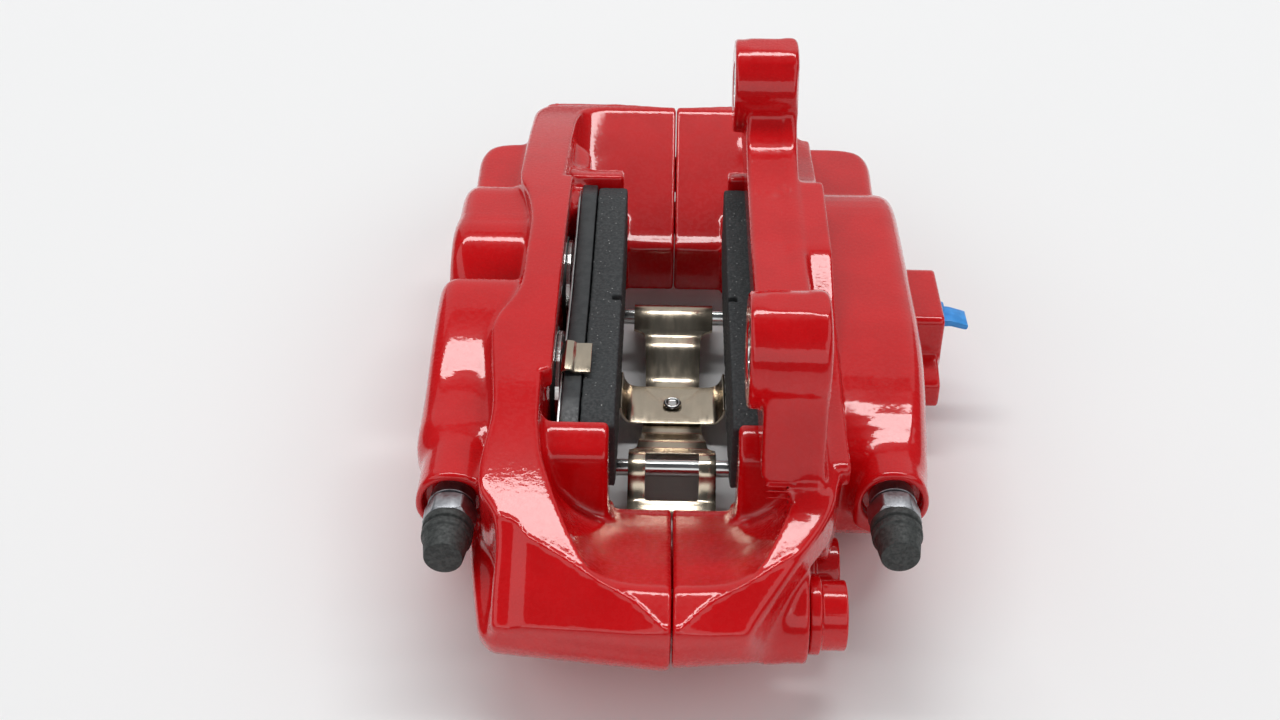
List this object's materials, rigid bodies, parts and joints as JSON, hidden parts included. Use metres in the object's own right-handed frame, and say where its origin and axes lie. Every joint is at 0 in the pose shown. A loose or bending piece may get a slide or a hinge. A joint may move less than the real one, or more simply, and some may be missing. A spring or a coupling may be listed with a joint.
{
  "type": "brake caliper",
  "caption": "Fixed opposed-piston disc brake caliper in two bolted halves, with pads on slide pins, pad spring, bleeders and radial mounting ears.",
  "frame": {"origin": "middle of the overall box, on the surface that the crown rests on; the halves' parting plane is at x = -12.05 mm", "axes": "+X inboard (towards the ears' side), +Y along the pads to the far end, +Z towards the disc's axle"},
  "size_m": [0.1688, 0.279, 0.1005],
  "materials": {
    "red_paint": "gloss enamel over cast aluminium, with orange peel",
    "bright_steel": "plated, polished",
    "grey_zinc": "grey zinc plate",
    "shim_steel": "thin black rubber-coated steel sheet with bare edges",
    "gold_zinc": "champagne zinc plate",
    "black_rubber": "matt",
    "friction_lining": "rough moulded lining with metal flecks",
    "plate_coating": "black powder coat",
    "blue_plastic": "soft moulded"
  },
  "bodies": {
    "caliper": {"bridge_bolt_far_inner": "red_paint", "bridge_bolt_far_outer": "red_paint", "bridge_bolt_near_inner": "red_paint", "bridge_bolt_near_outer": "red_paint", "crossover_seal": "black_rubber", "dust_boot_inboard_far": "black_rubber", "dust_boot_inboard_near": "black_rubber", "dust_boot_outboard_far": "black_rubber", "dust_boot_outboard_near": "black_rubber", "ear_insert_far": "bright_steel", "ear_insert_near": "bright_steel", "inboard_half": "red_paint", "outboard_half": "red_paint", "piston_seal_inboard_far": "black_rubber", "piston_seal_inboard_near": "black_rubber", "piston_seal_outboard_far": "black_rubber", "piston_seal_outboard_near": "black_rubber", "spring_cross_leaf": "gold_zinc", "spring_long_leaf": "gold_zinc", "spring_rivet": "bright_steel"},
    "pad_outboard": {"backing_plate_outboard": "plate_coating", "damping_shim_outboard": "shim_steel", "friction_block_outboard": "friction_lining", "wear_clip_outboard": "gold_zinc"},
    "piston_outboard_near": {"piston_outboard_near": "bright_steel"},
    "piston_outboard_far": {"piston_outboard_far": "bright_steel"},
    "pad_inboard": {"backing_plate_inboard": "plate_coating", "damping_shim_inboard": "shim_steel", "friction_block_inboard": "friction_lining", "wear_clip_inboard": "gold_zinc"},
    "piston_inboard_near": {"piston_inboard_near": "bright_steel"},
    "piston_inboard_far": {"piston_inboard_far": "bright_steel"},
    "bleeder_screw_outboard": {"bleeder_screw_outboard": "grey_zinc"},
    "bleeder_cap_outboard": {"bleeder_cap_outboard": "black_rubber"},
    "bleeder_screw_inboard": {"bleeder_screw_inboard": "grey_zinc"},
    "bleeder_cap_inboard": {"bleeder_cap_inboard": "black_rubber"},
    "pad_pin_near": {"pad_pin_near": "bright_steel"},
    "pad_pin_far": {"pad_pin_far": "bright_steel"},
    "transit_plug": {"transit_plug": "blue_plastic"}
  },
  "joints": [
    {"name": "pad_outboard_slide", "type": "slide", "parent": "caliper", "child": "pad_outboard", "axis": [1, 0, 0], "range_m": [-0.002, 0.009]},
    {"name": "piston_outboard_near_slide", "type": "slide", "parent": "caliper", "child": "piston_outboard_near", "axis": [1, 0, 0], "range_m": [-0.002, 0.009]},
    {"name": "piston_outboard_far_slide", "type": "slide", "parent": "caliper", "child": "piston_outboard_far", "axis": [1, 0, 0], "range_m": [-0.002, 0.009]},
    {"name": "pad_inboard_slide", "type": "slide", "parent": "caliper", "child": "pad_inboard", "axis": [-1, 0, 0], "range_m": [-0.002, 0.009]},
    {"name": "piston_inboard_near_slide", "type": "slide", "parent": "caliper", "child": "piston_inboard_near", "axis": [-1, 0, 0], "range_m": [-0.002, 0.009]},
    {"name": "piston_inboard_far_slide", "type": "slide", "parent": "caliper", "child": "piston_inboard_far", "axis": [-1, 0, 0], "range_m": [-0.002, 0.009]},
    {"name": "bleeder_outboard_turn", "type": "hinge", "parent": "caliper", "child": "bleeder_screw_outboard", "pos_m": [-0.07205, -0.089, 0.041], "axis": [0, -1, 0], "range_deg": [0, 180]},
    {"name": "bleeder_outboard_cap_pull", "type": "slide", "parent": "bleeder_screw_outboard", "child": "bleeder_cap_outboard", "axis": [0, -1, 0], "range_m": [0, 0.025]},
    {"name": "bleeder_inboard_turn", "type": "hinge", "parent": "caliper", "child": "bleeder_screw_inboard", "pos_m": [0.04795, -0.085, 0.041], "axis": [0, -1, 0], "range_deg": [0, 180]},
    {"name": "bleeder_inboard_cap_pull", "type": "slide", "parent": "bleeder_screw_inboard", "child": "bleeder_cap_inboard", "axis": [0, -1, 0], "range_m": [0, 0.025]},
    {"name": "pad_pin_near_pull", "type": "slide", "parent": "caliper", "child": "pad_pin_near", "axis": [1, 0, 0], "range_m": [0, 0.1]},
    {"name": "pad_pin_far_pull", "type": "slide", "parent": "caliper", "child": "pad_pin_far", "axis": [1, 0, 0], "range_m": [0, 0.1]},
    {"name": "transit_plug_pull", "type": "slide", "parent": "caliper", "child": "transit_plug", "axis": [1, 0, 0], "range_m": [0, 0.015]}
  ],
  "couplings": [
    {"joint": "piston_outboard_near_slide", "follows": "pad_outboard_slide", "ratio": 1},
    {"joint": "piston_outboard_far_slide", "follows": "pad_outboard_slide", "ratio": 1},
    {"joint": "piston_inboard_near_slide", "follows": "pad_outboard_slide", "ratio": 1},
    {"joint": "piston_inboard_far_slide", "follows": "pad_outboard_slide", "ratio": 1},
    {"joint": "pad_inboard_slide", "follows": "pad_outboard_slide", "ratio": 1}
  ]
}
